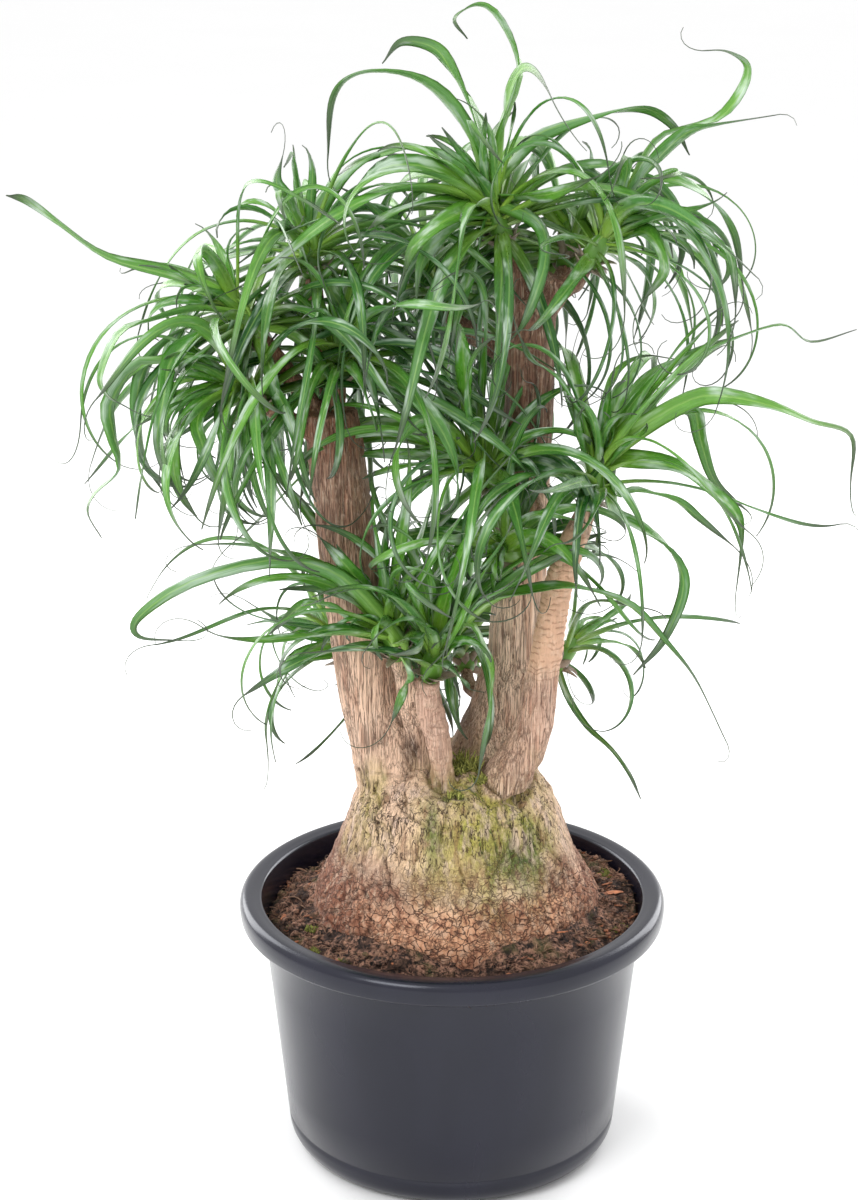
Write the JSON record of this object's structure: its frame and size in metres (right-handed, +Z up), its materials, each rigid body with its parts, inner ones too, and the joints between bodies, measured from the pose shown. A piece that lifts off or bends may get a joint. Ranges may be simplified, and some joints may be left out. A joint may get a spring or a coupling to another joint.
{
  "type": "potted ponytail palm",
  "caption": "Ponytail palm with a swollen woody base, several trunks and heads of arching strap leaves, in a tapered round pot of soil.",
  "frame": {"origin": "centre of the pot's flat underside, on the surface that the pot stands on", "axes": "+Z up along the pot's axis, +X to the plant's right and +Y to its back, as seen in the picture"},
  "size_m": [0.66, 0.4494, 0.9601],
  "materials": {
    "pot": "satin",
    "soil": "matte",
    "bark": "matte",
    "leaves": "satin"
  },
  "bodies": {
    "root": {"pot": "pot", "soil": "soil", "caudex": "bark", "rosette_top": "leaves", "rosette_top_right": "leaves", "rosette_top_right_back": "leaves", "rosette_left_high": "leaves", "rosette_left_low": "leaves", "rosette_left_top": "leaves", "rosette_left_back": "leaves", "rosette_middle_back": "leaves", "rosette_middle": "leaves", "rosette_middle_low": "leaves", "rosette_right": "leaves", "rosette_front_left": "leaves", "rosette_front_stump": "leaves", "rosette_low_left": "leaves", "rosette_low_back": "leaves", "rosette_low_right": "leaves"}
  },
  "joints": []
}
